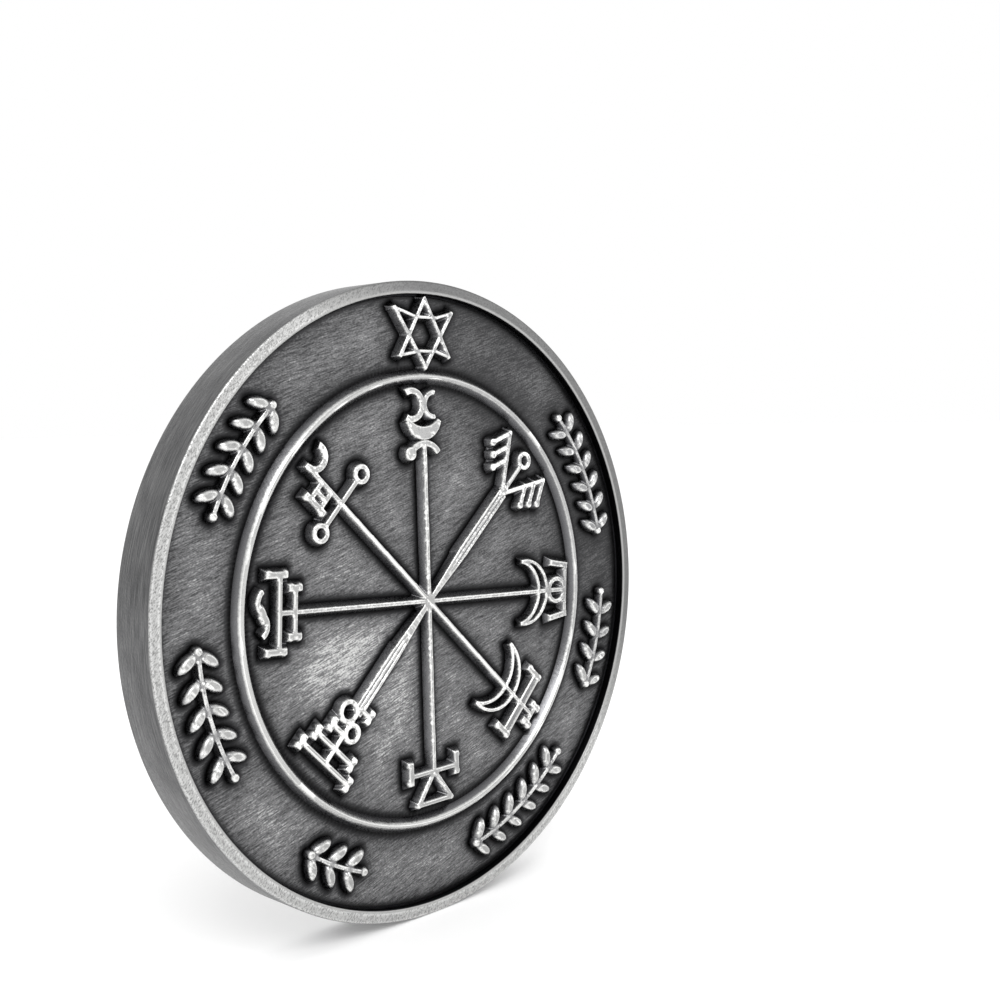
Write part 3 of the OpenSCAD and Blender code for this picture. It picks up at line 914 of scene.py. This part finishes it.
@dataclass
class RayOrnaments(Relief):
    """Signs at the ends of the rays, each drawn along +X outwards and turned to its ray."""

    line: Stroke = Stroke(0.8, 0.26, 0.55)
    moon: Stroke = Stroke(0.62, 0.2, 0.55)
    thick: Stroke = Stroke(0.92, 0.36, 0.55)
    serif_l: float = 0.8
    long_serif_l: float = 1.35
    swell_r: float = 0.34
    swell_out: float = 0.06

    def place(self, name: str, parts: Parts, ray: Ray) -> None:
        """Fuses an ornament, turns it to its ray and stands it on the obverse."""
        self.stand(turned(fused(f"{name}_relief", parts), ray.value[0]), Face.OBVERSE, (name,))

    def serif(self, at: Point, length: float) -> bpy.types.Object:
        """Models a serif across the end of a bar, along X, swelling at both its ends.

        Args:
            at: End of the bar.
            length: Length of the serif.

        Returns:
            The serif.
        """
        reach = length / 2 - self.line.top_w / 2
        beyond = at[1] + math.copysign(self.swell_out, at[1])
        parts = [bar((at[0] - reach, at[1]), (at[0] + reach, at[1]), self.thick)]
        for x in (at[0] - reach, at[0] + reach):
            parts.append(knob((x, beyond), self.swell_r, self.line))
        return joined(parts)

    def capped_bar(self, x: float, half_l: float, serif: float, shift: float = 0.0) -> Parts:
        """Models a bar across the ray with a serif at each end.

        Args:
            x: Where the bar crosses the ray.
            half_l: Half of the bar's length.
            serif: Length of each serif.
            shift: How far the serifs are moved outwards.

        Returns:
            The bar and its serifs.
        """
        parts = [bar((x, -half_l), (x, half_l), self.line)]
        parts += [self.serif((x + shift, side * half_l), serif) for side in (-1, 1)]
        return parts

    def outlined_moon(self, tip: float, half_w: float, outer: float, inner: float) -> Parts:
        """Models a crescent as two bows that share their tips.

        Args:
            tip: How far along the ray the tips lie.
            half_w: Half of the distance between the tips.
            outer: Rise of the outer bow.
            inner: Rise of the inner bow.

        Returns:
            The two bows.
        """
        return [bow((tip, 0.0), half_w, bulge, self.moon) for bulge in (outer, inner)]

    def north(self) -> None:
        """Cap on the ray, a cup above it and two crescents back to back."""
        cap = [arc((8.55, 0.0), 1.4, -56, 112, self.thick), dot((9.33, 1.16), 0.4, self.line)]
        self.place("cap_n", cap, Ray.N)
        cup = [bow((11.35, 0.0), 1.3, 1.05 - 0.27 * part, self.line, 180) for part in range(3)]
        self.place("cup_n", cup, Ray.N)
        moons = [
            bow((12.35, 1.45), 0.75, 1.35, self.thick, -90),
            bow((12.35, -0.95), 0.75, 0.85, self.line, 90),
        ]
        self.place("moons_n", moons, Ray.N)

    def north_east(self) -> None:
        """Stem with a loop between two barbed plumes."""
        plume = [bar((0.0, 0.0), (4.1, 0.0), self.line)]
        for at, length in ((2.3, 1.35), (3.2, 1.5), (4.1, 1.7)):
            barb = bar((0.0, 0.0), (length, 0.0), self.line)
            plume += [turned(joined([barb, dot((length, 0.0), 0.22, self.line)]), 122, (at, 0.0))]
        left = turned(joined(plume), 34)
        right = copy_of(left)
        right.scale = (1.0, -1.0, 1.0)
        settle(right)
        take(right)
        bpy.ops.object.mode_set(mode="EDIT")
        bpy.ops.mesh.select_all(action="SELECT")
        bpy.ops.mesh.normals_make_consistent(inside=False)
        leave_edit()
        plumes = [turned(side, 0, (9.3, 0.0)) for side in (left, right)]
        stem = bar((9.2, 0.0), (11.88, 0.0), self.line)
        loop = arc((12.35, 0.0), 0.47, 0, 360, self.line)
        self.place("plumes_ne", [stem, loop, *plumes], Ray.NE)

    def east(self) -> None:
        """Outlined crescent, a loop on the ray and an end bar with serifs turned back."""
        parts = self.outlined_moon(8.4, 2.1, 2.6, 1.8)
        parts += [bar((10.2, 0.0), (12.85, 0.0), self.line)]
        parts += [arc((12.0, 0.0), 0.78, 0, 360, self.line)]
        parts += [bar((12.85, -1.7), (12.85, 1.7), self.line)]
        parts += [bar((12.85, side * 1.7), (11.5, side * 1.9), self.thick) for side in (-1, 1)]
        self.place("moon_e", parts, Ray.E)

    def south_east(self) -> None:
        """Outlined crescent, a broad bar with a sunk middle and a small end bar."""
        parts = self.outlined_moon(7.8, 2.4, 2.55, 1.6)
        parts += [bar((9.4, 0.0), (12.75, 0.0), self.moon)]
        broad = Stroke(1.1, 0.66, 0.47)
        parts += [bar((11.45, -2.0), (11.45, 2.0), broad)]
        edge = Stroke(0.26, 0.14, 0.56)
        parts += [bar((x, -2.0), (x, 2.0), edge) for x in (11.45 - 0.25, 11.45 + 0.25)]
        parts += [self.serif((11.15, side * 2.3), self.long_serif_l) for side in (-1, 1)]
        parts += self.capped_bar(12.75, 0.65, self.serif_l)
        self.place("moon_se", parts, Ray.SE)

    def south(self) -> None:
        """Bar across the ray and a triangle hanging below it."""
        parts = self.capped_bar(10.9, 1.95, self.long_serif_l, -0.15)
        parts += chain([(10.9, 0.0), (12.85, 1.4), (12.85, -1.4), (10.9, 0.0)], self.line)
        self.place("triangle_s", parts, Ray.S)

    def south_west(self) -> None:
        """Two bars with serifs, a stub and two loops on either side of the ray."""
        parts = [bar((8.25, 0.0), (12.2, 0.0), self.line)]
        parts += self.capped_bar(12.2, 2.3, self.serif_l)
        parts += self.capped_bar(11.15, 1.75, self.serif_l)
        parts += [bar((10.15, 0.0), (10.15, -1.1), self.line)]
        parts += [self.serif((10.15, -1.1), self.serif_l)]
        parts += [arc((8.9, -0.6), 0.6, 0, 360, self.line)]
        parts += [arc((9.75, 0.5), 0.5, 0, 360, self.line)]
        parts += [bar((8.25, 0.0), (8.25, 1.0), self.line)]
        parts += [self.serif((8.25, 1.0), self.serif_l)]
        self.place("bars_sw", parts, Ray.SW)

    def west(self) -> None:
        """Short and long bar across the ray, and a wavy flame beyond them."""
        parts = [bar((10.45, 0.0), (11.55, 0.0), self.line)]
        parts += self.capped_bar(10.45, 1.4, self.serif_l)
        parts += self.capped_bar(11.55, 2.2, self.long_serif_l, 0.2)
        self.place("bars_w", parts, Ray.W)
        flame = [bow((12.72, -0.66), 0.66, 0.34, self.line)]
        flame.append(bow((12.72, 0.66), 0.66, 0.34, self.line, 180))
        flame.append(turned(leaf(1.7, 0.8, self.line), 108, (12.98, -0.82)))
        self.place("flame_w", flame, Ray.W)

    def north_west(self) -> None:
        """Bar with a ring at each end, a small ladder on one side and a hook at the tip."""
        parts = [bar((9.5, 0.0), (12.8, 0.0), self.line), bar((9.5, -1.83), (9.5, 1.83), self.line)]
        parts += [arc((9.5, side * 2.3), 0.47, 0, 360, self.line) for side in (-1, 1)]
        parts += [bar((at, 0.0), (at, 1.3), self.line) for at in (10.5, 11.4)]
        parts += [bar((10.5, 0.65), (11.4, 0.65), self.line), self.serif((10.95, 1.3), 1.7)]
        parts += [arc((12.8, -0.75), 0.75, 90, 200, self.thick)]
        self.place("ladder_nw", parts, Ray.NW)

    def build(self) -> None:
        """Builds the ornaments round the disc."""
        for ornament in (
            self.north, self.north_east, self.east, self.south_east,
            self.south, self.south_west, self.west, self.north_west,
        ):
            ornament()


@dataclass
class Sprigs(Relief):
    """Leafy sprigs in the outer band, each a stem with pairs of leaves and a bud at each end."""

    middle_r: float = 16.95
    leaf_l: float = 1.75
    leaf_w: float = 0.84
    lean: float = 52.0
    pitch: float = 4.8
    bud_r: float = 0.36
    stem: Stroke = Stroke(0.62, 0.22, 0.48)
    blade: Stroke = Stroke(0.56, 0.3, 0.55)
    spans: tuple[tuple[float, float], ...] = (
        (11, 42), (133, 158), (183, 209), (235, 250), (283, 315), (333, 356)
    )

    def pair(self) -> bpy.types.Object:
        """Models two leaves that spring from one point of the stem."""
        blade = leaf(self.leaf_l, self.leaf_w, self.blade)
        twin = turned(copy_of(blade), 90 - self.lean)
        return turned(joined([turned(blade, 90 + self.lean), twin]), 0, (self.middle_r, 0.0))

    def build(self) -> None:
        """Builds each sprig from copies of one pair of leaves."""
        pattern = self.pair()
        for number, (start, end) in enumerate(self.spans, 1):
            pairs = math.floor((end - start) / self.pitch)
            step = (end - start) / pairs
            parts = [arc((0.0, 0.0), self.middle_r, start, end - start, self.stem)]
            parts += [turned(copy_of(pattern), start + step * index) for index in range(pairs)]
            for angle in (start, end):
                parts.append(turned(knob((self.middle_r, 0.0), self.bud_r, self.blade), angle))
            self.stand(fused(f"sprig_{number}_relief", parts), Face.OBVERSE, (f"sprig_{number}",))
        bpy.data.objects.remove(pattern)


# ---------------------------------------------------------------------------------------------
# Reverse
# ---------------------------------------------------------------------------------------------


@dataclass
class ToothRing(Relief):
    """Fine ring with teeth that reach the rim."""

    outer_r: float = 18.5
    ring_w: float = 0.3
    tooth_l: float = 0.95
    tooth_w: float = 0.32
    teeth: int = 144
    height: float = 0.45

    def build(self) -> None:
        """Spins the ring and sets copies of one tooth round it."""
        ring_stroke = Stroke(self.ring_w + 0.08, self.ring_w - 0.06, self.height)
        section = profile(self.outer_r - self.ring_w / 2, ring_stroke)
        pick(section, "VERT", lambda place: place.z > self.height - HAIR)
        bpy.ops.mesh.bevel(offset=0.06, segments=2, affect="VERTICES")
        ring = spun(section, 360, 2 * self.teeth)
        tooth = bar(
            (self.outer_r - 0.1, 0.0),
            (self.outer_r + self.tooth_l, 0.0),
            Stroke(self.tooth_w + 0.06, self.tooth_w - 0.08, self.height),
            0.0,
        )
        apply_modifier(tooth, "BEVEL", width=0.04, segments=1)
        teeth = [turned(copy_of(tooth), 360 * index / self.teeth) for index in range(self.teeth)]
        bpy.data.objects.remove(tooth)
        whole = joined([ring, *teeth])
        whole.name = "tooth_ring_relief"
        take(whole)
        bpy.ops.object.shade_smooth_by_angle(angle=math.radians(35))
        self.stand(whole, Face.REVERSE, ("tooth_ring",))


@dataclass
class ThinRing(Relief):
    """Thin rounded ring round the sign."""

    ring_r: float = 13.63
    foot_w: float = 0.42
    crest_w: float = 0.26
    height: float = 0.42

    def build(self) -> None:
        """Spins a narrow trapezoid with rounded corners."""
        section = profile(self.ring_r, Stroke(self.foot_w, self.crest_w, self.height))
        pick(section, "VERT", lambda place: place.z > self.height - HAIR)
        bpy.ops.mesh.bevel(offset=0.09, segments=3, affect="VERTICES")
        ring = spun(section, 360, 288)
        take(ring)
        bpy.ops.object.shade_smooth_by_angle(angle=math.radians(40))
        ring.name = "thin_ring_relief"
        self.stand(ring, Face.REVERSE, ("thin_ring",))


@dataclass
class Sign(Relief):
    """Large open sign: one hooked stroke, a crossbar and an upright, all flat on top."""

    slot: Slot = Slot.GRAINED
    stroke: Stroke = Stroke(1.84, 1.58, 0.45)
    unit: float = 13.46 / 13.6

    def build(self) -> None:
        """Models the strokes with round ends and fuses them."""
        hook = (-4.6, 4.6)
        tail_centre, tail_r, tail_sweep = (-8.6, 4.6), 8.0, 57.0
        join = (
            tail_centre[0] + tail_r * math.cos(math.radians(tail_sweep)),
            tail_centre[1] - tail_r * math.sin(math.radians(tail_sweep)),
        )
        parts = [
            arc(hook, 4.0, -1, 182, self.stroke),
            bar((-8.6, 4.6), (-8.55, 1.5), self.stroke, 0.0),
            arc(tail_centre, tail_r, -tail_sweep, tail_sweep + 1, self.stroke),
            bar(join, (-8.7, -5.3), self.stroke, 0.0),
            bar((-7.85, -4.88), (-4.0, -3.9), self.stroke, 0.3),
            bar((-4.0, -3.9), (9.85, -3.25), self.stroke, 0.0),
            bar((4.15, -10.8), (4.15, 11.1), self.stroke, 0.0),
        ]
        ends = (
            (-8.55, 1.5), (-8.7, -5.3), (9.85, -3.25),
            (4.15, -10.8), (4.15, 11.1), (-4.0, -3.9),
        )
        parts += [dot(end, self.stroke.top_w / 2, self.stroke, 48) for end in ends]
        sign = fused("sign_relief", parts, voxel=0.07, rounds=3)
        sign.scale = (self.unit, self.unit, 1.0)
        self.stand(settle(sign), Face.REVERSE, ("sign",))


@dataclass
class Fleurons(Relief):
    """Seven small fleurons between the rings of the reverse."""

    middle_r: float = 16.0
    count: int = 7
    height: float = 3.3
    petal_l: float = 1.9
    petal_w: float = 0.85
    lean: float = 62.0
    foot_l: float = 1.5
    blade: Stroke = Stroke(0.5, 0.32, 0.44)
    stem: Stroke = Stroke(0.56, 0.36, 0.42)

    def build(self) -> None:
        """Models one fleuron and sets seven copies round the band."""
        petal = leaf(self.petal_l, self.petal_w, self.blade)
        parts = [turned(copy_of(petal), 90 + lean) for lean in (-self.lean, 0.0, self.lean)]
        bpy.data.objects.remove(petal)
        base = self.stem.top_w / 2 - self.height / 2
        parts += [
            dot((0.0, 0.0), 0.42, self.blade),
            bar((0.0, 0.0), (0.0, base), self.stem),
            bar((-self.foot_l / 2, base), (self.foot_l / 2, base), self.stem),
        ]
        pattern = turned(fused("fleuron_pattern", parts), 0, (0.0, self.middle_r))
        for number in range(self.count):
            twin = turned(copy_of(pattern), -360 * number / self.count)
            twin.name = f"fleuron_{number + 1}_relief"
            self.stand(twin, Face.REVERSE, (f"fleuron_{number + 1}",))
        bpy.data.objects.remove(pattern)


# ---------------------------------------------------------------------------------------------
# Blank
# ---------------------------------------------------------------------------------------------


@dataclass
class Wall(Relief):
    """Edge of the coin with the raised rims of both faces."""

    slot: Slot = Slot.METAL
    outer_r: float = 20.0
    inner_r: float = 19.2
    back_inner_r: float = 19.45
    rim_h: float = 0.6
    thickness: float = 3.4
    outer_round: float = 0.16
    inner_round: float = 0.09
    ledge: Stroke = Stroke(0.26, 0.1, 0.09)
    steps: int = 400

    def build(self) -> None:
        """Spins the wall's section with its corners rounded, and a fine ledge at its foot."""
        bottom = self.rim_h - self.thickness
        leave_edit()
        bpy.ops.mesh.primitive_plane_add(size=1.0, rotation=(math.pi / 2, 0.0, 0.0))
        section = bpy.context.object
        section.scale = (self.outer_r - self.inner_r, self.thickness, 1.0)
        section.location = ((self.outer_r + self.inner_r) / 2, 0.0, (self.rim_h + bottom) / 2)
        settle(section)
        inner = self.outer_r - 0.1
        pick(section, "VERT", lambda place: place.z < bottom + HAIR and place.x < inner)
        bpy.ops.transform.translate(value=(self.back_inner_r - self.inner_r, 0.0, 0.0))
        for inside, offset in ((False, self.outer_round), (True, self.inner_round)):
            pick(section, "VERT", lambda place: (place.x < self.outer_r - 0.2) is inside)
            bpy.ops.mesh.bevel(offset=offset, segments=4, affect="VERTICES")
            leave_edit()
        wall = spun(section, 360, self.steps)
        ledge = spun(profile(self.inner_r - 0.05, self.ledge), 360, self.steps)
        whole = joined([wall, ledge])
        whole.name = "wall_and_rims"
        take(whole)
        bpy.ops.object.shade_smooth_by_angle(angle=math.radians(40))
        self.stand(whole, Face.OBVERSE, ("blank",))


@dataclass
class Fields(Relief):
    """Sunken fields of both faces, each carrying its plate's polish and painted light and shade."""

    slot: Slot = Slot.METAL
    rim_r: float = 19.2
    back_rim_r: float = 19.45
    pitch: float = 0.14
    depth: float = 0.9
    near_reach: float = 0.3
    far_reach: float = 2.6
    near_share: float = 0.5
    open_polish: float = 0.8
    # Painted highlight and shade spots: x, y, reach in millimetres and lift; below zero is darker.
    painted_light_spots: tuple[tuple[float, float, float, float], ...] = (
        (-5.6, -3.6, 4.4, 0.48),
        (-8.0, -14.5, 7.0, 0.05),
        (-4.0, 8.0, 5.0, 0.04),
        (4.5, -8.0, 5.0, 0.12),
        (17.0, 5.0, 9.0, -0.36),
        (6.0, 16.0, 7.0, -0.3),
        (-10.0, 15.0, 6.0, -0.12),
    )

    def darken(self, obj: bpy.types.Object, feet: np.ndarray, edges: Sequence[float]) -> None:
        """Writes how far the plate is polished back, from the distance to the nearest foot or edge,
        with painted highlight and painted shade spots laid over it.

        Args:
            obj: Field, still flat on the sheet.
            feet: Places of the relief's feet on the sheet.
            edges: Radii of the circles that also hold the dark.
        """
        tree = kdtree.KDTree(len(feet))
        for index, (x, y) in enumerate(feet):
            tree.insert((x, y, 0.0), index)
        tree.balance()
        values = []
        for vertex in obj.data.vertices:
            radius = math.hypot(vertex.co.x, vertex.co.y)
            gap = min(abs(radius - edge) for edge in edges)
            gap = min(gap, tree.find((vertex.co.x, vertex.co.y, 0.0))[2])
            dark = self.near_share * math.exp(-((gap / self.near_reach) ** 2))
            dark += (1 - self.near_share) * math.exp(-gap / self.far_reach)
            # Painted highlight and painted shade: the spots lift or dim the open polish.
            level = self.open_polish + sum(
                lift * math.exp(-(((vertex.co.x - x) ** 2 + (vertex.co.y - y) ** 2) / reach**2))
                for x, y, reach, lift in self.painted_light_spots
            )
            values.append((1 - dark) * level)
        layer = obj.data.attributes.new(POLISH_AND_PAINTED_LIGHT, "FLOAT", "POINT")
        layer.data.foreach_set("value", values)

    def sheet(self, name: str, radius: float) -> bpy.types.Object:
        """Models a finely divided disc with its back closed."""
        count = round(2 * (radius + self.pitch) / self.pitch)
        leave_edit()
        bpy.ops.mesh.primitive_grid_add(
            x_subdivisions=count, y_subdivisions=count, size=count * self.pitch
        )
        obj = bpy.context.object
        obj.name = name
        pick(obj, "FACE", lambda place: place.length > radius)
        bpy.ops.mesh.delete(type="FACE")
        bpy.ops.mesh.select_all(action="SELECT")
        bpy.ops.mesh.extrude_region_move(TRANSFORM_OT_translate={"value": (0.0, 0.0, -self.depth)})
        bpy.ops.mesh.dissolve_faces()
        bpy.ops.mesh.select_all(action="SELECT")
        bpy.ops.mesh.normals_make_consistent(inside=False)
        leave_edit()
        return obj

    def lay(
        self,
        name: str,
        face: Face,
        radius: float,
        relief: Sequence[Relief],
        edges: Sequence[float],
    ) -> None:
        """Models one field, darkens it and stands it on its face.

        Args:
            name: Name of the piece.
            face: Face that the field lies on.
            radius: Radius of the field.
            relief: Groups whose feet the plate stays dark along.
            edges: Radii of the walls and rings that it stays dark along.
        """
        obj = self.sheet(name, radius + 0.12)
        feet = np.concatenate([group.feet(face) for group in relief])
        self.darken(obj, feet, edges)
        take(obj)
        bpy.ops.object.shade_smooth_by_angle(angle=math.radians(30))
        self.stand(obj, face, ("blank",))


# ---------------------------------------------------------------------------------------------
# Studio
# ---------------------------------------------------------------------------------------------


@dataclass(frozen=True)
class Lamp:
    """Soft box: where it hangs and its size in metres, its power in watts and its colour."""

    name: str
    at: tuple[float, float, float]
    size: tuple[float, float]
    power: float
    tint: str = "#ffffff"

    def hang(self) -> None:
        """Adds the lamp, facing the coin."""
        light = bpy.data.lights.new(self.name, "AREA")
        light.shape = "RECTANGLE"
        light.size, light.size_y = self.size
        light.energy = self.power
        light.color = linear(self.tint)[:3]
        lamp = bpy.data.objects.new(self.name, light)
        lamp.location = self.at
        lamp.rotation_euler = (-Vector(self.at)).to_track_quat("-Z", "Y").to_euler()
        bpy.context.scene.collection.objects.link(lamp)


@dataclass
class Studio:
    """Floor, light and camera round the coin."""

    floor_z: float = -0.02
    floor_size: float = 6.0
    air: str = "#ffffff"
    air_strength: float = 1.0
    azimuth: float = -45.744
    elevation: float = 3.582
    roll: float = -1.04
    distance: float = 82.96
    slide: Point = (4.359, 6.368)
    front_y: float = -1.7
    lens: float = 47.41
    lamps: tuple[Lamp, ...] = (
        Lamp("key", (-0.25, -0.35, 0.42), (0.3, 0.3), 1.4),
        Lamp("fill", (0.5, -0.45, 0.1), (0.25, 0.5), 0.5),
    )

    def floor(self, material: bpy.types.Material) -> None:
        """Lays the floor under the coin."""
        leave_edit()
        bpy.ops.mesh.primitive_plane_add(size=self.floor_size, location=(0.0, 0.0, self.floor_z))
        ground = bpy.context.object
        ground.name = "floor"
        settle(ground)
        ground.data.materials.append(material)

    def light(self) -> None:
        """Fills the room with even light and hangs the soft boxes."""
        world = bpy.data.worlds.new("studio_air")
        world.use_nodes = True
        background = world.node_tree.nodes["Background"]
        background.inputs["Color"].default_value = linear(self.air)
        background.inputs["Strength"].default_value = self.air_strength
        bpy.context.scene.world = world
        bpy.context.scene.view_settings.view_transform = "Standard"
        for lamp in self.lamps:
            lamp.hang()

    def camera(self) -> None:
        """Stands the camera in front of the coin, off to its left and a little above."""
        angles = (self.azimuth, self.elevation, self.roll)
        azimuth, elevation, roll = map(math.radians, angles)
        back = Vector(
            (
                math.sin(azimuth) * math.cos(elevation),
                -math.cos(azimuth) * math.cos(elevation),
                math.sin(elevation),
            )
        )
        across = (-back).cross(Vector((0.0, 0.0, 1.0))).normalized()
        up = back.cross(across)
        right = across * math.cos(roll) + up * math.sin(roll)
        upright = up * math.cos(roll) - across * math.sin(roll)
        place = back * self.distance + right * self.slide[0] + upright * self.slide[1]
        place.y += self.front_y
        data = bpy.data.cameras.new("camera")
        data.lens = self.lens
        data.sensor_width = 36.0
        data.clip_start = 0.001
        camera = bpy.data.objects.new("camera", data)
        turn = Matrix((right, upright, back)).transposed().to_4x4()
        camera.matrix_world = Matrix.Translation(place * MM) @ turn
        bpy.context.scene.collection.objects.link(camera)
        bpy.context.scene.camera = camera


def main() -> None:
    """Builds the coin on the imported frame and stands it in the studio."""
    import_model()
    relief = PolishedRelief().make()
    field_metal = BrushedField().make()
    rim_metal = GrainedRim().make()
    groups = [
        MiddleRing(relief),
        Rays(relief),
        Star(relief),
        RayOrnaments(relief),
        Sprigs(relief),
        ToothRing(relief),
        ThinRing(relief),
        Sign(GrainedSign().make()),
        Fleurons(relief),
    ]
    for group in groups:
        group.build()
    Wall(rim_metal).build()
    fields = Fields(field_metal)
    fields.lay("obverse_field", Face.OBVERSE, fields.rim_r, groups, (fields.rim_r,))
    fields.lay("reverse_field", Face.REVERSE, fields.back_rim_r, groups, (fields.back_rim_r,))
    studio = Studio()
    studio.floor(PaleFloor().make())
    studio.light()
    studio.camera()


if __name__ == "__main__":
    main()
